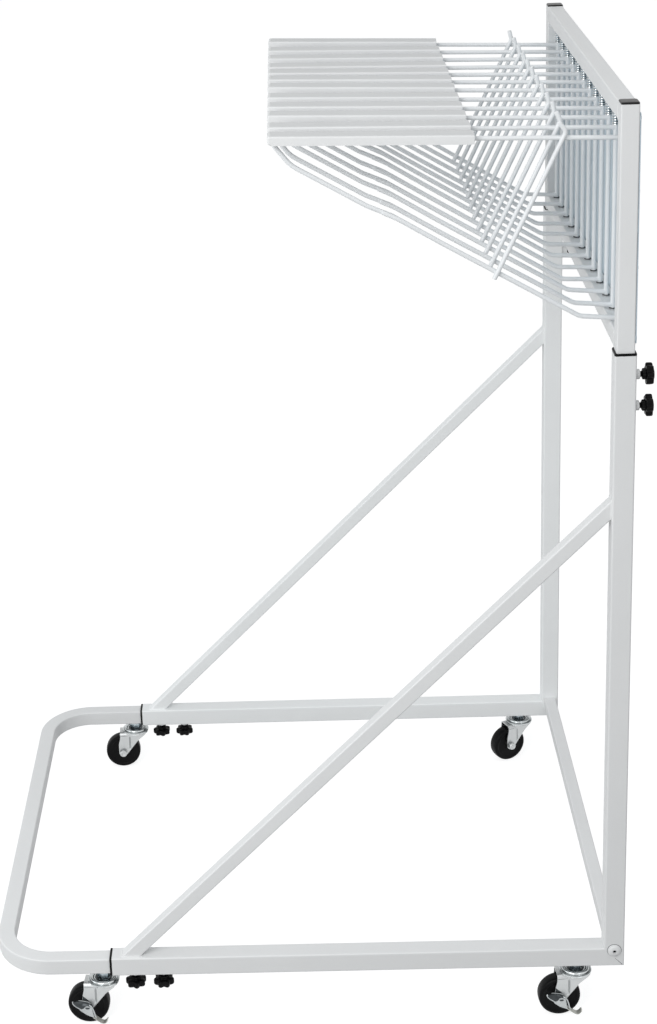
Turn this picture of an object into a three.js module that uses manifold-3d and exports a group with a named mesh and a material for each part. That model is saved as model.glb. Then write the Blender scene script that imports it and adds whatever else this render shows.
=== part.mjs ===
import * as THREE from 'three';
import { mergeVertices } from 'three/addons/utils/BufferGeometryUtils.js';
import Module from 'manifold-3d';

const wasm = await Module();
wasm.setup();

// Driving dimensions, in millimetres and degrees. The front is -X, the near side is -Y.
const FIT = 0.3; // gap between pieces that touch
const SPAN = 750; // side frames, centre to centre
const OUTER = 30; // square tube of the side frames
const INNER = 25; // square tube of the telescoping frames
const WALL = 1.2; // wall of both tubes
const BASE_Z = 86; // floor to the underside of the base tubes
const BASE_LENGTH = 761;
const POST_TOP_Z = BASE_Z + 958;
const FRONT_REACH = 941; // rear face of the posts to the front of the bent tube
const KNOB_REACH = 28; // rear face of the posts to the end of the knobs
const REAR_X = (FRONT_REACH - KNOB_REACH) / 2; // rear face of the posts
const AXIS_X = REAR_X - OUTER / 2; // centre plane of the posts, rails and arm pivots

const BRACE = 20; // square tube of the braces
const BRACE_WALL = 1.2;
const BRACE_FOOT = 732; // ahead of the posts' rear face, and the same above the base

const CROSS = 20; // square tube between the side frames
const CROSS_Z = BASE_Z + 27;
const BOLT_R = 4;

const RIM = 3.2; // visible thickness of a collar
const LOW_RIM = 1; // the same on the far post, where no black shows between the arms
const COLLAR_DEPTH = 20; // collar sleeve inside the outer tube

const BEND_R = 75; // centre line of the front tube's bends
const LEG_INSERT = 300; // front tube's legs inside the base tubes
const POST_INSERT = 364; // inner posts inside the outer posts
const RAIL_LOW_Z = POST_TOP_Z + 4; // underside of the lower rail
const TOP_Z = BASE_Z + 1302; // top of the upper frame
const CAP_DEPTH = 12; // cap's plug inside the tube
const CAP_PROUD = 3; // cap's crown above the tube
const CAP_EDGE = 1.1; // bevel round the crown
const PANEL_T = 1.5; // sheet on the back of the upper frame
const PANEL_EDGE = 12; // sheet's top and bottom edges, from the outer faces of the rails

const ARMS = 12;
const ARM_PITCH = 60;
const WIRE_R = 3.25;
const ARM_LOW_Z = RAIL_LOW_Z + INNER + 6; // centre of an arm's lower wire
const ARM_HEIGHT = 252.5; // lower wire to top wire at the pivot
const ARM_TILT = 1.6; // rise of the top wire towards the front
const ARM_FRONT = 470; // pivot to the arm's front corner
const PIN_DOWN = 15; // pivot rod below the lower wire
const PIN_UP = 38; // pivot rod above the top wire
const WASHER_R = 6.5;
const HOLE_R = 4.4; // rail holes for the pivot rods
// How far each arm stands swung, near to far, in degrees towards the far side.
const ARM_SWING = [-0.3, -0.8, 0.8, 0.4, 0.7, 2.2, 1.6, 0.3, -1.4, -0.4, 0.4, 2.4];
const TIP_LEAN = [37, 22]; // lean of the first struts' tips
const TIP_LEAN_REST = 13; // lean of the others

const SLEEVE_BACK = 198; // pivot to the sleeve's rear end
const SLEEVE_FRONT = 472.5;
const SLEEVE_WIDTH = 34;
const SLEEVE_UP = 7.9; // above the wire's centre
const SLEEVE_DOWN = 4.6; // below the wire's centre
const SLEEVE_WALL = 1.5;

const SPRING_R = 4.9; // centre line of the coil
const SPRING_WIRE_R = 0.7;
const SPRING_CURLS = 5;

const KNOB_R = 15.6;
const KNOB_LOBES = 7;
const STUD_R = 4;
const STUD_GAP = 0.7; // round a stud in its nut, so that their flats clear as it turns
const NUT_R = 7;
const REAR_NUT = { near: 6, far: 8.6 }; // length of the weld nuts behind each post
const BASE_NUT = 5.6; // length of the weld nuts below the base tubes
const REAR_KNOB_Z = [BASE_Z + 927, BASE_Z + 882];
const BASE_KNOB_X = [REAR_X - 727.5, REAR_X - 685.5];

const WHEEL_R = 31.5;
const WHEEL_HALF = 10;
const WHEEL_SIDES = 20; // a multiple of 4, so that one flat lies on the floor
const AXLE_R = 4;
const TRAIL = 24.5; // wheel axle behind the swivel axis
const FORK_IN = 11.5; // inner half width of the fork
const FORK_T = 2;
const FORK_TOP_Z = 71;
const FORK_BOSS_R = 7.8;
const FORK_FRONT = 20;
const FORK_SHOULDER = 29.3; // the fork's reach to the rear beside the knobs, as it swivels past them
const RACE_R = 24;
const RACE_TOP_Z = 79;
const STEM_R = 5;
const STEM_IN = 20; // stem inside the tube
const FRONT_SWIVEL_X = REAR_X - 776;
const REAR_SWIVEL_X = REAR_X - 70;

// Paint, plastic and plated steel of the pieces.
const metal = (color, roughness, metalness) => new THREE.MeshStandardMaterial({ color, roughness, metalness });
const PAINT = metal(0xe4e7ea, 0.45, 0.1);
const WIRE_PAINT = metal(0xdcdfe1, 0.4, 0.15);
const PLASTIC = metal(0x141416, 0.5, 0);
const ZINC = metal(0xc3c7c8, 0.25, 0.9);
const TYRE = metal(0x1c1d1f, 0.6, 0);

const rad = THREE.MathUtils.degToRad;
const v3 = (x, y, z) => new THREE.Vector3(x, y, z);
const root = new THREE.Group();

// A closed geometry as a solid, with only its merged positions.
function solid(geometry) {
  let bare = geometry.clone();
  bare.deleteAttribute('normal');
  bare.deleteAttribute('uv');
  bare = mergeVertices(bare, 1e-4);
  const vertProperties = new Float32Array(bare.attributes.position.array);
  const triVerts = new Uint32Array(bare.index.array);
  return new wasm.Manifold(new wasm.Mesh({ numProp: 3, vertProperties, triVerts }));
}

function geometryOf(body) {
  const mesh = body.getMesh();
  const geometry = new THREE.BufferGeometry();
  geometry.setAttribute('position', new THREE.BufferAttribute(new Float32Array(mesh.vertProperties), 3));
  geometry.setIndex(new THREE.BufferAttribute(new Uint32Array(mesh.triVerts), 1));
  geometry.computeVertexNormals();
  return geometry;
}

const join = (...geometries) => geometries.map(solid).reduce((sum, next) => sum.add(next));
const cut = (body, ...geometries) => geometries.reduce((rest, tool) => rest.subtract(solid(tool)), body);

function addMesh(name, geometry, material, x = 0, y = 0, z = 0, parent = root) {
  const mesh = new THREE.Mesh(geometry, material);
  mesh.name = name;
  mesh.position.set(x, y, z);
  parent.add(mesh);
  return mesh;
}

function box(x0, x1, y0, y1, z0, z1) {
  const geometry = new THREE.BoxGeometry(x1 - x0, y1 - y0, z1 - z0);
  return geometry.translate((x0 + x1) / 2, (y0 + y1) / 2, (z0 + z1) / 2);
}

// A round bar along Z from z0 to z1, by its outer radii.
function bar(r0, r1, z0, z1, sides) {
  const geometry = new THREE.CylinderGeometry(r1, r0, z1 - z0, sides);
  return geometry.rotateX(Math.PI / 2).translate(0, 0, (z0 + z1) / 2);
}

// A lathe about Z through [radius, height] points.
function turned(profile, sides) {
  const points = profile.map(([r, z]) => new THREE.Vector2(r, z));
  return new THREE.LatheGeometry(points, sides).rotateX(Math.PI / 2);
}

// A path of straight runs and round bends, with a station wherever a section is needed.
class BentPath extends THREE.Curve {
  constructor(corners) {
    super();
    this.points = [];
    this.tangents = [];
    corners.forEach((corner, i) => this.addCorner(corners, corner, i));
  }

  addStation(point, tangent) {
    this.points.push(point);
    this.tangents.push(tangent.clone().normalize());
  }

  addCorner(corners, { at, r = 0, steps = 4 }, i) {
    const before = i > 0 ? at.clone().sub(corners[i - 1].at).normalize() : null;
    const after = i < corners.length - 1 ? corners[i + 1].at.clone().sub(at).normalize() : null;
    if (!before || !after) {
      this.addStation(at.clone(), before ?? after);
      return;
    }
    const turn = before.angleTo(after);
    const axis = before.clone().cross(after).normalize();
    const reach = r * Math.tan(turn / 2);
    const start = at.clone().addScaledVector(before, -reach);
    const centre = start.clone().addScaledVector(axis.clone().cross(before), r);
    for (let k = 0; k <= steps; k += 1) {
      const angle = (turn * k) / steps;
      const arm = start.clone().sub(centre).applyAxisAngle(axis, angle);
      this.addStation(centre.clone().add(arm), before.clone().applyAxisAngle(axis, angle));
    }
  }

  station(u) {
    return Math.round(u * (this.points.length - 1));
  }

  getPoint(t, target = v3(0, 0, 0)) {
    return target.copy(this.points[this.station(t)]);
  }

  getPointAt(u, target) {
    return this.getPoint(u, target);
  }

  getTangentAt(u, target = v3(0, 0, 0)) {
    return target.copy(this.tangents[this.station(u)]);
  }

  getSpacedPoints() {
    return this.points;
  }
}

function swept(section, corners) {
  const path = new BentPath(corners);
  return new THREE.ExtrudeGeometry(section, { steps: path.points.length - 1, extrudePath: path });
}

// A regular section whose area is that of a round bar of the given radius.
function roundSection(r, sides) {
  const outer = r * Math.sqrt((2 * Math.PI) / (sides * Math.sin((2 * Math.PI) / sides)));
  const points = [];
  for (let i = 0; i < sides; i += 1) {
    const angle = (2 * Math.PI * (i + 0.5)) / sides;
    points.push(new THREE.Vector2(outer * Math.cos(angle), outer * Math.sin(angle)));
  }
  return new THREE.Shape(points);
}

function squareShape(size) {
  const h = size / 2;
  const corners = [[-h, -h], [h, -h], [h, h], [-h, h]];
  return new THREE.Shape(corners.map(([x, y]) => new THREE.Vector2(x, y)));
}

// Side frames: base tube, post and brace welded into one, with the nuts for the knobs.
function sideFrame(nutLength) {
  const h = OUTER / 2;
  const hollow = h - WALL;
  const front = REAR_X - BASE_LENGTH;
  const slope = Math.SQRT1_2 * BRACE_FOOT;
  const middle = [REAR_X - BRACE_FOOT / 2 - h, 0, BASE_Z + BRACE_FOOT / 2 + h];
  const brace = (size, length) => new THREE.BoxGeometry(length, size, size)
    .rotateY(-Math.PI / 4).translate(...middle);
  const rearNut = (z, r, x0, x1) => bar(r, r, x0, x1, 8).rotateY(Math.PI / 2).translate(REAR_X, 0, z);
  const baseNut = (x, r, z0, z1) => bar(r, r, z0, z1, 8).translate(x, 0, BASE_Z);
  let frame = join(
    box(REAR_X - OUTER, REAR_X, -h, h, BASE_Z, POST_TOP_Z),
    box(front, REAR_X, -h, h, BASE_Z, BASE_Z + OUTER),
    brace(BRACE, 2 * slope + 6),
    ...REAR_KNOB_Z.map((z) => rearNut(z, NUT_R, -0.5, nutLength)),
    ...BASE_KNOB_X.map((x) => baseNut(x, NUT_R, -BASE_NUT, 0.5)),
  );
  const boltHole = bar(BOLT_R + FIT, BOLT_R + FIT, -h - 1, h + 1, 8).rotateX(Math.PI / 2);
  frame = cut(
    frame,
    box(AXIS_X - hollow, AXIS_X + hollow, -hollow, hollow, BASE_Z + WALL, POST_TOP_Z + 1),
    box(front - 1, REAR_X - WALL, -hollow, hollow, BASE_Z + WALL, BASE_Z + OUTER - WALL),
    brace(BRACE - 2 * BRACE_WALL, 2 * slope + 6),
    ...REAR_KNOB_Z.map((z) => rearNut(z, STUD_R + STUD_GAP, -WALL - 1, nutLength + 1)),
    ...BASE_KNOB_X.map((x) => baseNut(x, STUD_R + STUD_GAP, -BASE_NUT - 1, WALL + 1)),
    boltHole.translate(AXIS_X, 0, CROSS_Z),
    bar(STEM_R + FIT, STEM_R + FIT, -1, WALL + 1, 8).translate(REAR_SWIVEL_X, 0, BASE_Z),
  );
  return geometryOf(frame);
}

// Rear cross tube with a drilled plate in each end.
function crossTube() {
  const h = CROSS / 2;
  const end = SPAN / 2 - OUTER / 2 - FIT;
  const bolt = bar(BOLT_R + FIT, BOLT_R + FIT, -end - 1, end + 1, 8).rotateX(Math.PI / 2);
  const tube = cut(
    join(box(-h, h, -end, end, -h, h)),
    box(-h + WALL, h - WALL, -end + 8, end - 8, -h + WALL, h - WALL),
    bolt,
  );
  return geometryOf(tube);
}

// Socket bolt along Y with its head outside, at y = 0.
function bolt() {
  const profile = [[0, 30 + 12], [BOLT_R, 30 + 12], [BOLT_R, -FIT], [10, -FIT], [10, -1.8], [6.5, -4.2], [0, -4.2]];
  const body = cut(join(turned(profile.reverse(), 12)), bar(2.6, 2.6, -6, -1.5, 6));
  return geometryOf(body).rotateX(-Math.PI / 2);
}

// Bent front tube, hollow and open at its two rear ends.
function frontTube() {
  const back = REAR_X - BASE_LENGTH + LEG_INSERT;
  const front = REAR_X - FRONT_REACH + INNER / 2;
  const z = BASE_Z + OUTER / 2;
  const section = squareShape(INNER);
  section.holes.push(squareShape(INNER - 2 * WALL));
  const tube = swept(section, [
    { at: v3(back, -SPAN / 2, z) },
    { at: v3(front, -SPAN / 2, z), r: BEND_R, steps: 6 },
    { at: v3(front, SPAN / 2, z), r: BEND_R, steps: 6 },
    { at: v3(back, SPAN / 2, z) },
  ]);
  const hole = (y) => bar(STEM_R + FIT, STEM_R + FIT, -1, WALL + 1, 8)
    .translate(FRONT_SWIVEL_X, y, z - INNER / 2);
  return geometryOf(cut(join(tube), hole(-SPAN / 2), hole(SPAN / 2)));
}

const armY = (i) => (i - (ARMS - 1) / 2) * ARM_PITCH;

// Upper frame: two inner posts and two rails, open inside from end to end.
function upperFrame() {
  const h = INNER / 2;
  const inside = h - WALL;
  const low = POST_TOP_Z - POST_INSERT;
  const rails = [RAIL_LOW_Z + h, TOP_Z - h];
  const post = (half, y, z0, z1) => box(-half, half, y - half, y + half, z0, z1);
  const rail = (half, z) => box(-half, half, -SPAN / 2, SPAN / 2, z - half, z + half);
  const pinHole = (i, z) => bar(HOLE_R, HOLE_R, -1, 1, 6).translate(0, armY(i), z);
  const sides = [-SPAN / 2, SPAN / 2];
  const arms = Array.from({ length: ARMS }, (_, i) => i);
  const frame = cut(
    join(...sides.map((y) => post(h, y, low, TOP_Z)), ...rails.map((z) => rail(h, z))),
    ...sides.map((y) => post(inside, y, low - 1, TOP_Z + 1)),
    ...rails.map((z) => rail(inside, z)),
    ...arms.map((i) => pinHole(i, RAIL_LOW_Z + INNER - WALL / 2)),
    ...arms.map((i) => pinHole(i, TOP_Z - INNER + WALL / 2)),
  );
  return geometryOf(frame);
}

// Sheet closing the back of the upper frame, from one post's outer face to the other's.
function backPanel() {
  const side = SPAN / 2 + INNER / 2 - 1.5;
  return box(0, PANEL_T, -side, side, RAIL_LOW_Z + PANEL_EDGE, TOP_Z - PANEL_EDGE);
}

// Cap on a post's top, the tube's end at z = 0: a plug inside and a crown as wide as the tube.
function topPlug() {
  const plug = INNER / 2 - WALL - FIT;
  const half = INNER / 2 - CAP_EDGE;
  const corner = 3;
  const crown = new THREE.Shape();
  [[1, 1], [-1, 1], [-1, -1], [1, -1]].forEach(([x, y], i) => {
    const start = (i * Math.PI) / 2;
    crown.absarc(x * (half - corner), y * (half - corner), corner, start, start + Math.PI / 2, false);
  });
  const bevel = { bevelThickness: CAP_EDGE, bevelSize: CAP_EDGE, bevelSegments: 1, curveSegments: 3 };
  const pillow = new THREE.ExtrudeGeometry(crown, { depth: CAP_PROUD, ...bevel }).translate(0, 0, FIT - CAP_EDGE);
  const body = cut(join(pillow), box(-INNER, INNER, -INNER, INNER, -INNER, FIT));
  return geometryOf(body.add(solid(box(-plug, plug, -plug, plug, -CAP_DEPTH, FIT + 1))));
}

// Collar on the end of an outer tube, the tube's end at z = 0.
function collar(height) {
  const rim = OUTER / 2;
  const sleeve = OUTER / 2 - WALL - FIT;
  const bore = INNER / 2 + FIT;
  const body = cut(
    join(box(-rim, rim, -rim, rim, FIT, FIT + height), box(-sleeve, sleeve, -sleeve, sleeve, -COLLAR_DEPTH, FIT + 1)),
    box(-bore, bore, -bore, bore, -COLLAR_DEPTH - 1, FIT + height + 1),
  );
  return geometryOf(body);
}

// Star knob with its stud, along +Z, the weld nut's end at z = 0.
function knob(nut) {
  const tip = -nut - (OUTER - INNER) / 2 + FIT;
  const stud = [[0, tip], [STUD_R, tip], [STUD_R, 0.6], [4.6, 0.6], [9.2, 8], [9.2, 17.4], [6.5, 19.4], [0, 19.4]];
  const outline = [];
  const count = KNOB_LOBES * 3;
  for (let i = 0; i < count; i += 1) {
    const angle = (2 * Math.PI * i) / count;
    const r = i % 3 === 0 ? KNOB_R - 3.4 : KNOB_R;
    outline.push(new THREE.Vector2(r * Math.cos(angle), r * Math.sin(angle)));
  }
  const lobes = new THREE.ExtrudeGeometry(new THREE.Shape(outline), { depth: 10, bevelEnabled: false });
  return geometryOf(join(turned(stud, 8), lobes.translate(0, 0, 7.8)));
}

// Arm: wire loop, pivot rod, strut and sleeve in one weldment, the pivot at x = 0, reaching to -X.
function arm(lean) {
  const rise = Math.tan(rad(ARM_TILT));
  const at = (s, z, y = 0) => v3(-s, y, z);
  const wire = roundSection(WIRE_R, 6);
  const loop = swept(wire, [
    { at: at(0, ARM_HEIGHT) },
    { at: at(ARM_FRONT, ARM_HEIGHT + ARM_FRONT * rise), r: 6, steps: 3 },
    { at: at(442, 229.8), r: 50, steps: 1 },
    { at: at(341, 170), r: 30, steps: 1 },
    { at: at(308, 155.2), r: 30, steps: 1 },
    { at: at(54.5, 1), r: 25, steps: 2 },
    { at: at(0, 0) },
  ]);
  const tipLength = 15;
  const bend = { s: 76, z: 264.5 };
  const strut = swept(wire, [
    { at: at(171, 63, -5.8) },
    { at: at(bend.s, bend.z, -5.8), r: 8, steps: 2 },
    { at: at(bend.s + tipLength * Math.sin(rad(lean)), bend.z + tipLength * Math.cos(rad(lean)), -5.8) },
  ]);
  const half = SLEEVE_WIDTH / 2;
  const along = (geometry) => geometry.rotateY(rad(ARM_TILT)).translate(0, 0, ARM_HEIGHT);
  const saddle = along(box(-SLEEVE_BACK - 200, -SLEEVE_BACK - 40, -2, 2, 0.5, SLEEVE_UP - 1));
  const roof = SLEEVE_UP - SLEEVE_WALL;
  const side = half - SLEEVE_WALL;
  const sleeve = cut(
    join(along(box(-SLEEVE_FRONT, -SLEEVE_BACK, -half, half, -SLEEVE_DOWN, SLEEVE_UP))),
    along(box(-SLEEVE_FRONT + SLEEVE_WALL, -SLEEVE_BACK + 1, -side, side, -SLEEVE_DOWN - 1, roof)),
  );
  const rest = join(
    loop,
    strut,
    bar(WIRE_R * 1.1, WIRE_R * 1.1, -PIN_DOWN, ARM_HEIGHT + PIN_UP, 6),
    bar(WASHER_R, WASHER_R, -6 + FIT, -2.6, 6),
    saddle,
  );
  return geometryOf(sleeve.add(rest));
}

// Coil spring along Z from 0 to height: one tube, its two ends straight and square to what they meet.
function spring(height) {
  const steps = 8;
  const sides = 5;
  const end = 2 * SPRING_WIRE_R;
  const total = SPRING_CURLS * steps;
  const climb = (height - 2 * end) / total;
  const stations = [];
  const place = (k, z, lift) => {
    const angle = Math.PI + (2 * Math.PI * k) / steps;
    const out = v3(Math.cos(angle), Math.sin(angle), 0);
    const forward = v3(-Math.sin(angle), Math.cos(angle), 0).multiplyScalar(1 - lift).add(v3(0, 0, lift)).normalize();
    stations.push({ out, centre: out.clone().multiplyScalar(SPRING_R).setZ(z), side: forward.clone().cross(out) });
  };
  place(0, 0, 1);
  for (let k = 0; k <= total; k += 1) {
    place(k, end + climb * k, k === 0 || k === total ? 0.5 : 0);
  }
  place(total, height, 1);
  const positions = [];
  stations.forEach(({ out, centre, side }) => {
    for (let j = 0; j < sides; j += 1) {
      const angle = (2 * Math.PI * j) / sides;
      const point = centre.clone().addScaledVector(out, SPRING_WIRE_R * Math.cos(angle));
      positions.push(...point.addScaledVector(side, SPRING_WIRE_R * Math.sin(angle)).toArray());
    }
  });
  const index = [];
  for (let i = 0; i < stations.length - 1; i += 1) {
    for (let j = 0; j < sides; j += 1) {
      const a = i * sides + j;
      const b = i * sides + ((j + 1) % sides);
      index.push(a, b, a + sides, b, b + sides, a + sides);
    }
  }
  const last = (stations.length - 1) * sides;
  for (let j = 1; j < sides - 1; j += 1) {
    index.push(0, j + 1, j);
    index.push(last, last + j, last + j + 1);
  }
  const geometry = new THREE.BufferGeometry();
  geometry.setAttribute('position', new THREE.Float32BufferAttribute(positions, 3));
  geometry.setIndex(index);
  geometry.computeVertexNormals();
  return { geometry, centres: stations.map(({ centre }) => centre) };
}

// The least gap between parts of a coil that are more than half a curl apart.
function leastGap(centres) {
  let least = Infinity;
  for (let i = 0; i < centres.length; i += 1) {
    for (let j = i + 5; j < centres.length; j += 1) {
      least = Math.min(least, centres[i].distanceTo(centres[j]) - 2 * SPRING_WIRE_R);
    }
  }
  return least;
}

// Caster stem: threaded end in the tube, hexagon, raceway and riveted king pin. The floor is at z = 0.
function casterStem(tubeZ) {
  const pin = [
    [0, FORK_TOP_Z - 5.5], [8, FORK_TOP_Z - 5.5], [8, FORK_TOP_Z - 2.5 - FIT], [STEM_R, FORK_TOP_Z - 2.5 - FIT],
    [STEM_R, FORK_TOP_Z + FIT], [RACE_R - 5, FORK_TOP_Z + FIT], [RACE_R, FORK_TOP_Z + 1.6],
    [RACE_R, FORK_TOP_Z + 3.6], [12, RACE_TOP_Z], [0, RACE_TOP_Z],
  ];
  return geometryOf(join(
    turned(pin, 12),
    bar(9.8, 9.8, RACE_TOP_Z - 1, tubeZ - FIT, 6),
    bar(STEM_R, STEM_R, tubeZ - 1, tubeZ + STEM_IN, 8),
  ));
}

// Caster fork with its axle, the swivel axis at x = 0 and the wheel trailing to -X.
function casterFork() {
  const axle = v3(-TRAIL, 0, WHEEL_R);
  const leg = new THREE.Shape();
  leg.moveTo(-FORK_SHOULDER, FORK_TOP_Z);
  leg.lineTo(-FORK_SHOULDER, FORK_TOP_Z - 10);
  leg.lineTo(-TRAIL - FORK_BOSS_R, FORK_TOP_Z - 24);
  leg.lineTo(-TRAIL - FORK_BOSS_R, WHEEL_R);
  leg.absarc(-TRAIL, WHEEL_R, FORK_BOSS_R, Math.PI, 2 * Math.PI - 0.62, false);
  leg.lineTo(4.5, FORK_TOP_Z - 15);
  leg.lineTo(FORK_FRONT, FORK_TOP_Z - 2);
  leg.lineTo(FORK_FRONT, FORK_TOP_Z);
  const side = (y) => new THREE.ExtrudeGeometry(leg, { depth: FORK_T, bevelEnabled: false, curveSegments: 4 })
    .rotateX(Math.PI / 2).translate(0, y + FORK_T, 0);
  const across = (r, y0, y1, sides) => bar(r, r, y0, y1, sides).rotateX(-Math.PI / 2).translate(axle.x, 0, axle.z);
  const outside = FORK_IN + FORK_T;
  const body = cut(
    join(
      side(FORK_IN), side(-FORK_IN - FORK_T),
      box(-FORK_SHOULDER, FORK_FRONT, -outside, outside, FORK_TOP_Z - 2.5, FORK_TOP_Z),
      bar(22.5, 22.5, FORK_TOP_Z - 2.5, FORK_TOP_Z, 10),
      across(AXLE_R, -20, 18, 6),
      across(6.5, -20, -17, 6),
      across(6.5, outside - 0.2, 18, 6),
    ),
    bar(STEM_R + 0.7, STEM_R + 0.7, FORK_TOP_Z - 4, FORK_TOP_Z + 1, 8),
  );
  return geometryOf(body);
}

// Wheel about its own axle along Y, standing on one flat of its tread.
function wheel() {
  const tread = WHEEL_R / Math.cos(Math.PI / WHEEL_SIDES);
  const half = [[AXLE_R + 0.4, WHEEL_HALF + 1], [11, WHEEL_HALF + 1], [14, WHEEL_HALF - 1.5],
    [27, WHEEL_HALF], [tread, WHEEL_HALF - 3]];
  const mirrored = half.map(([r, y]) => [r, -y]).reverse();
  const profile = [...half, ...mirrored, half[0]].reverse();
  return turned(profile, WHEEL_SIDES).rotateZ(Math.PI / 2 + Math.PI / WHEEL_SIDES).rotateX(-Math.PI / 2);
}

// Brake pedal on the near end of the axle, the axle at the origin.
function brakePedal() {
  const plateY = -FORK_IN - FORK_T - 0.5;
  const plate = new THREE.Shape();
  plate.moveTo(-21, 10);
  plate.quadraticCurveTo(-8, 13.5, 4, 7);
  plate.quadraticCurveTo(9.5, 2, 12, -14);
  plate.lineTo(14, -16.4);
  plate.quadraticCurveTo(4, -13, -4, -7.8);
  plate.quadraticCurveTo(-17, -0.5, -21, 10);
  const pedal = new THREE.Shape();
  pedal.moveTo(-23, 11);
  pedal.quadraticCurveTo(-20.5, 1.5, -9, -5.2);
  pedal.quadraticCurveTo(2, -13.2, 13, -17);
  pedal.quadraticCurveTo(17, -18.8, 21, -22);
  pedal.quadraticCurveTo(26.5, -25, 30.8, -16.2);
  pedal.lineTo(29.2, -15.2);
  pedal.quadraticCurveTo(26, -22.4, 21.8, -20.2);
  pedal.quadraticCurveTo(17.6, -17, 13, -15.2);
  pedal.quadraticCurveTo(3, -11.4, -8, -3.8);
  pedal.quadraticCurveTo(-18.8, 2.6, -21.2, 11.5);
  const upright = (shape, depth) => new THREE.ExtrudeGeometry(shape, { depth, bevelEnabled: false, curveSegments: 3 })
    .rotateX(Math.PI / 2).translate(0, plateY, 0);
  const hole = bar(AXLE_R + FIT, AXLE_R + FIT, -40, 0, 8).rotateX(-Math.PI / 2);
  return geometryOf(cut(join(upright(plate, 2), upright(pedal, 9.5)), hole));
}

// Both sides get the same frame, collars, cap and knobs.
const sides = [['near', -SPAN / 2], ['far', SPAN / 2]];
sides.forEach(([side, y]) => {
  const nutLength = REAR_NUT[side];
  addMesh(`side_frame_${side}`, sideFrame(nutLength), PAINT, 0, y, 0);
  addMesh(`post_collar_${side}`, collar(side === 'far' ? LOW_RIM : RIM), PLASTIC, AXIS_X, y, POST_TOP_Z);
  const baseCollar = addMesh(`base_collar_${side}`, collar(RIM), PLASTIC, REAR_X - BASE_LENGTH, y, BASE_Z + OUTER / 2);
  baseCollar.rotation.y = -Math.PI / 2;
  addMesh(`top_plug_${side}`, topPlug(), PLASTIC, AXIS_X, y, TOP_Z);
  REAR_KNOB_Z.forEach((z, k) => {
    const rearKnob = addMesh(`rear_knob_${side}_${k + 1}`, knob(nutLength), PLASTIC, REAR_X + nutLength, y, z);
    rearKnob.rotation.y = Math.PI / 2;
  });
  BASE_KNOB_X.forEach((x, k) => {
    addMesh(`base_knob_${side}_${k + 1}`, knob(BASE_NUT), PLASTIC, x, y, BASE_Z - BASE_NUT).rotation.x = Math.PI;
  });
  const head = addMesh(`cross_bolt_${side}`, bolt(), ZINC, AXIS_X, y + Math.sign(y) * (OUTER / 2), CROSS_Z);
  head.rotation.z = y > 0 ? Math.PI : 0;
});

addMesh('rear_cross_tube', crossTube(), PAINT, AXIS_X, 0, CROSS_Z);
addMesh('front_tube', frontTube(), PAINT);
addMesh('upper_frame', upperFrame(), PAINT, AXIS_X, 0, 0);
addMesh('back_panel', backPanel(), PAINT, AXIS_X + INNER / 2 + FIT, 0, 0);

// Arms and their springs, each pair turned together about its pivot.
const springFoot = ARM_HEIGHT + WIRE_R * 1.1 + FIT;
const springHead = TOP_Z - INNER - ARM_LOW_Z - FIT;
ARM_SWING.forEach((swing, i) => {
  const group = new THREE.Group();
  group.position.set(AXIS_X, armY(i), ARM_LOW_Z);
  group.rotation.z = -rad(swing);
  root.add(group);
  const number = String(i + 1).padStart(2, '0');
  addMesh(`arm_${number}`, arm(TIP_LEAN[i] ?? TIP_LEAN_REST), WIRE_PAINT, 0, 0, 0, group);
  const coil = spring(springHead - springFoot);
  addMesh(`spring_${number}`, coil.geometry, ZINC, 0, 0, springFoot, group);
  if (i === 0) {
    console.log(`spring: least gap to itself ${leastGap(coil.centres).toFixed(2)} mm`);
  }
});

// Casters: place, height of the tube above, and how far each is turned.
const casters = [
  ['front_near', FRONT_SWIVEL_X, -SPAN / 2, BASE_Z + (OUTER - INNER) / 2, -4],
  ['rear_near', REAR_SWIVEL_X, -SPAN / 2, BASE_Z, 4],
  ['front_far', FRONT_SWIVEL_X, SPAN / 2, BASE_Z + (OUTER - INNER) / 2, 3],
  ['rear_far', REAR_SWIVEL_X, SPAN / 2, BASE_Z, 26],
];
casters.forEach(([place, x, y, tubeZ, turn]) => {
  addMesh(`caster_stem_${place}`, casterStem(tubeZ), ZINC, x, y, 0);
  const group = new THREE.Group();
  group.position.set(x, y, 0);
  group.rotation.z = rad(turn);
  root.add(group);
  addMesh(`caster_fork_${place}`, casterFork(), ZINC, 0, 0, 0, group);
  addMesh(`caster_wheel_${place}`, wheel(), TYRE, -TRAIL, 0, WHEEL_R, group);
  if (place.endsWith('near')) {
    addMesh(`brake_pedal_${place}`, brakePedal(), ZINC, -TRAIL, 0, WHEEL_R, group);
  }
});

export default root;
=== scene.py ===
import math

import bmesh
import bpy
from mathutils import Matrix, Vector


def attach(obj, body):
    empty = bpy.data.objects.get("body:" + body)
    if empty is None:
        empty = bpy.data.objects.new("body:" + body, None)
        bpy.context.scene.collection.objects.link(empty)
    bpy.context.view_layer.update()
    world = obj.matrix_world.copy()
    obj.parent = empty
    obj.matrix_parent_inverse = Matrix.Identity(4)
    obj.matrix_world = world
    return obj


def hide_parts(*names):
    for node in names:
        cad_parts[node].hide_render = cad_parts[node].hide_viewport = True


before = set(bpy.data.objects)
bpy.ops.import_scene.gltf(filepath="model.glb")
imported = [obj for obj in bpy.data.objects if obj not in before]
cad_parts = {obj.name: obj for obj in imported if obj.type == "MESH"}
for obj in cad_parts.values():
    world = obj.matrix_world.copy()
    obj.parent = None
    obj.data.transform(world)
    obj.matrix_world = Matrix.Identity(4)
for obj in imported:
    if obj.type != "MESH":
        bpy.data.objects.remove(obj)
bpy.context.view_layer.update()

MM = 0.001

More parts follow.
